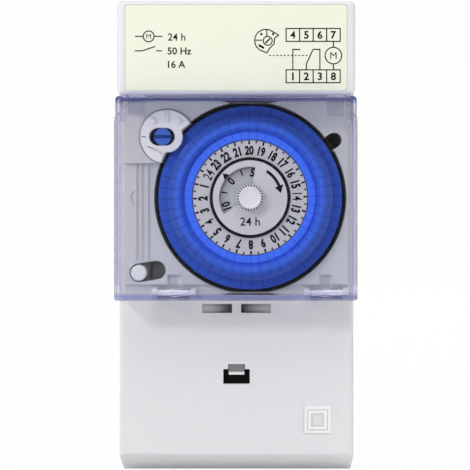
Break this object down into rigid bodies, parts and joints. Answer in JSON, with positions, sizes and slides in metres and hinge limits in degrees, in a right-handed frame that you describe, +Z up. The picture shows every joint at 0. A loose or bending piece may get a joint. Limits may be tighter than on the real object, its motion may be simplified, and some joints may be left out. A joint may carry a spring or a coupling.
{
  "type": "din rail timer switch",
  "caption": "Rail-mounted timer switch with a turning day dial ringed by blue sliding tappets, a hinged clear cover, a rocking switch lever and a removable terminal cover.",
  "frame": {"origin": "middle of the rail's width, on the plane where the rail's lips seat", "axes": "+Z up the front, -Y out of the front towards the viewer, +X to the viewer's right"},
  "size_m": [0.0756, 0.053, 0.152],
  "materials": {
    "housing_white": "satin",
    "face_grey": "satin",
    "label_cream": "matt film",
    "black_plastic": "matt",
    "motor_black": "satin",
    "disc_silver": "satin silver",
    "dial_blue": "gloss",
    "knob_white": "satin",
    "board_green": "satin",
    "capacitor_yellow": "gloss",
    "battery_green": "satin",
    "brass": "bright",
    "steel": "zinc plated",
    "clear_plastic": "clear gloss",
    "plunger_red": "satin"
  },
  "bodies": {
    "housing": {"base": "housing_white", "front_housing": "housing_white", "face_plate": "face_grey", "label_plate": "label_cream", "centre_cup": "black_plastic", "centre_disc": "disc_silver", "movement_frame": "face_grey", "rear_plate": "face_grey", "circuit_board": "board_green", "quartz_crystal": "steel", "capacitor": "capacitor_yellow", "reserve_battery": "battery_green", "motor_body": "motor_black", "snap_switch": "black_plastic", "terminal_block": "housing_white", "terminal_clamps": "brass", "terminal_screws": "steel", "housing_screws": "steel", "hinge_pins": "steel", "clip_spring": "steel"},
    "dial": {"dial_carrier": "dial_blue", "hour_ring": "disc_silver"},
    "minute_hand_setting": {"minute_arbor": "steel", "minute_disc": "disc_silver", "setting_knob": "knob_white"},
    "intermediate": {"intermediate_gear": "knob_white"},
    "motor_shaft": {"motor_pinion": "brass"},
    "cover": {"clear_cover": "clear_plastic"},
    "lever": {"switch_lever": "knob_white", "lever_pin": "steel"},
    "override": {"override_knob": "dial_blue"},
    "plunger": {"switch_plunger": "plunger_red"},
    "button": {"mode_button": "knob_white"},
    "clip": {"rail_clip": "black_plastic"},
    "terminal_lid": {"terminal_cover": "housing_white"},
    "tappet_pair_01": {"tappets_hour_01": "dial_blue"},
    "tappet_pair_02": {"tappets_hour_02": "dial_blue"},
    "tappet_pair_03": {"tappets_hour_03": "dial_blue"},
    "tappet_pair_04": {"tappets_hour_04": "dial_blue"},
    "tappet_pair_05": {"tappets_hour_05": "dial_blue"},
    "tappet_pair_06": {"tappets_hour_06": "dial_blue"},
    "tappet_pair_07": {"tappets_hour_07": "dial_blue"},
    "tappet_pair_08": {"tappets_hour_08": "dial_blue"},
    "tappet_pair_09": {"tappets_hour_09": "dial_blue"},
    "tappet_pair_10": {"tappets_hour_10": "dial_blue"},
    "tappet_pair_11": {"tappets_hour_11": "dial_blue"},
    "tappet_pair_12": {"tappets_hour_12": "dial_blue"},
    "tappet_pair_13": {"tappets_hour_13": "dial_blue"},
    "tappet_pair_14": {"tappets_hour_14": "dial_blue"},
    "tappet_pair_15": {"tappets_hour_15": "dial_blue"},
    "tappet_pair_16": {"tappets_hour_16": "dial_blue"},
    "tappet_pair_17": {"tappets_hour_17": "dial_blue"},
    "tappet_pair_18": {"tappets_hour_18": "dial_blue"},
    "tappet_pair_19": {"tappets_hour_19": "dial_blue"},
    "tappet_pair_20": {"tappets_hour_20": "dial_blue"},
    "tappet_pair_21": {"tappets_hour_21": "dial_blue"},
    "tappet_pair_22": {"tappets_hour_22": "dial_blue"},
    "tappet_pair_23": {"tappets_hour_23": "dial_blue"},
    "tappet_pair_24": {"tappets_hour_24": "dial_blue"}
  },
  "joints": [
    {"name": "dial_spin", "type": "hinge", "parent": "housing", "child": "dial", "pos_m": [0.0044, -0.0255, 0.014], "axis": [0, -1, 0], "continuous": true},
    {"name": "minute_spin", "type": "hinge", "parent": "housing", "child": "minute_hand_setting", "pos_m": [0.0044, -0.0255, 0.014], "axis": [0, -1, 0], "continuous": true},
    {"name": "intermediate_spin", "type": "hinge", "parent": "housing", "child": "intermediate", "pos_m": [0.0102, -0.0255, 0.03564], "axis": [0, -1, 0], "continuous": true},
    {"name": "motor_spin", "type": "hinge", "parent": "housing", "child": "motor_shaft", "pos_m": [0.0044, -0.0195, 0.05727], "axis": [0, -1, 0], "continuous": true},
    {"name": "cover_swing", "type": "hinge", "parent": "housing", "child": "cover", "pos_m": [0, -0.0328, -0.0162], "axis": [1, 0, 0], "range_deg": [0, 90]},
    {"name": "lever_rock", "type": "hinge", "parent": "housing", "child": "lever", "pos_m": [-0.0234, -0.0345, 0.0333], "axis": [0, -1, 0], "range_deg": [-10, 10]},
    {"name": "override_turn", "type": "hinge", "parent": "housing", "child": "override", "pos_m": [-0.0234, -0.0345, 0.0333], "axis": [0, -1, 0], "range_deg": [0, 90]},
    {"name": "plunger_slide", "type": "slide", "parent": "housing", "child": "plunger", "axis": [-1, 0, 0], "range_m": [-0.00087, 0.00087]},
    {"name": "button_slide", "type": "slide", "parent": "housing", "child": "button", "axis": [0.9885, 0, 0.1513], "range_m": [0, 0.0056]},
    {"name": "clip_slide", "type": "slide", "parent": "housing", "child": "clip", "axis": [0, 0, -1], "range_m": [0, 0.004], "stiffness_N_per_m": 500, "springref_m": -0.004, "deforming": ["clip_spring"]},
    {"name": "terminal_cover_slide", "type": "slide", "parent": "housing", "child": "terminal_lid", "axis": [0, -1, 0], "range_m": [0, 0.09]},
    {"name": "tappet_slide_01", "type": "slide", "parent": "dial", "child": "tappet_pair_01", "axis": [-0.9936, 0, 0.1132], "range_m": [0, 0.0011]},
    {"name": "tappet_slide_02", "type": "slide", "parent": "dial", "child": "tappet_pair_02", "axis": [-0.989, 0, -0.1478], "range_m": [0, 0.0011]},
    {"name": "tappet_slide_03", "type": "slide", "parent": "dial", "child": "tappet_pair_03", "axis": [-0.9171, 0, -0.3987], "range_m": [0, 0.0011]},
    {"name": "tappet_slide_04", "type": "slide", "parent": "dial", "child": "tappet_pair_04", "axis": [-0.7826, 0, -0.6225], "range_m": [0, 0.0011]},
    {"name": "tappet_slide_05", "type": "slide", "parent": "dial", "child": "tappet_pair_05", "axis": [-0.5948, 0, -0.8039], "range_m": [0, 0.0011]},
    {"name": "tappet_slide_06", "type": "slide", "parent": "dial", "child": "tappet_pair_06", "axis": [-0.3665, 0, -0.9304], "range_m": [0, 0.0011]},
    {"name": "tappet_slide_07", "type": "slide", "parent": "dial", "child": "tappet_pair_07", "axis": [-0.1132, 0, -0.9936], "range_m": [0, 0.0011]},
    {"name": "tappet_slide_08", "type": "slide", "parent": "dial", "child": "tappet_pair_08", "axis": [0.1478, 0, -0.989], "range_m": [0, 0.0011]},
    {"name": "tappet_slide_09", "type": "slide", "parent": "dial", "child": "tappet_pair_09", "axis": [0.3987, 0, -0.9171], "range_m": [0, 0.0011]},
    {"name": "tappet_slide_10", "type": "slide", "parent": "dial", "child": "tappet_pair_10", "axis": [0.6225, 0, -0.7826], "range_m": [0, 0.0011]},
    {"name": "tappet_slide_11", "type": "slide", "parent": "dial", "child": "tappet_pair_11", "axis": [0.8039, 0, -0.5948], "range_m": [0, 0.0011]},
    {"name": "tappet_slide_12", "type": "slide", "parent": "dial", "child": "tappet_pair_12", "axis": [0.9304, 0, -0.3665], "range_m": [0, 0.0011]},
    {"name": "tappet_slide_13", "type": "slide", "parent": "dial", "child": "tappet_pair_13", "axis": [0.9936, 0, -0.1132], "range_m": [0, 0.0011]},
    {"name": "tappet_slide_14", "type": "slide", "parent": "dial", "child": "tappet_pair_14", "axis": [0.989, 0, 0.1478], "range_m": [0, 0.0011]},
    {"name": "tappet_slide_15", "type": "slide", "parent": "dial", "child": "tappet_pair_15", "axis": [0.9171, 0, 0.3987], "range_m": [0, 0.0011]},
    {"name": "tappet_slide_16", "type": "slide", "parent": "dial", "child": "tappet_pair_16", "axis": [0.7826, 0, 0.6225], "range_m": [0, 0.0011]},
    {"name": "tappet_slide_17", "type": "slide", "parent": "dial", "child": "tappet_pair_17", "axis": [0.5948, 0, 0.8039], "range_m": [0, 0.0011]},
    {"name": "tappet_slide_18", "type": "slide", "parent": "dial", "child": "tappet_pair_18", "axis": [0.3665, 0, 0.9304], "range_m": [0, 0.0011]},
    {"name": "tappet_slide_19", "type": "slide", "parent": "dial", "child": "tappet_pair_19", "axis": [0.1132, 0, 0.9936], "range_m": [0, 0.0011]},
    {"name": "tappet_slide_20", "type": "slide", "parent": "dial", "child": "tappet_pair_20", "axis": [-0.1478, 0, 0.989], "range_m": [0, 0.0011]},
    {"name": "tappet_slide_21", "type": "slide", "parent": "dial", "child": "tappet_pair_21", "axis": [-0.3987, 0, 0.9171], "range_m": [0, 0.0011]},
    {"name": "tappet_slide_22", "type": "slide", "parent": "dial", "child": "tappet_pair_22", "axis": [-0.6225, 0, 0.7826], "range_m": [0, 0.0011]},
    {"name": "tappet_slide_23", "type": "slide", "parent": "dial", "child": "tappet_pair_23", "axis": [-0.8039, 0, 0.5948], "range_m": [0, 0.0011]},
    {"name": "tappet_slide_24", "type": "slide", "parent": "dial", "child": "tappet_pair_24", "axis": [-0.9304, 0, 0.3665], "range_m": [0, 0.0011]}
  ],
  "couplings": [
    {"joint": "intermediate_spin", "follows": "dial_spin", "ratio": -6},
    {"joint": "minute_spin", "follows": "dial_spin", "ratio": 24},
    {"joint": "motor_spin", "follows": "dial_spin", "ratio": 24},
    {"joint": "lever_rock", "follows": "plunger_slide", "rad_per_m": 200}
  ]
}
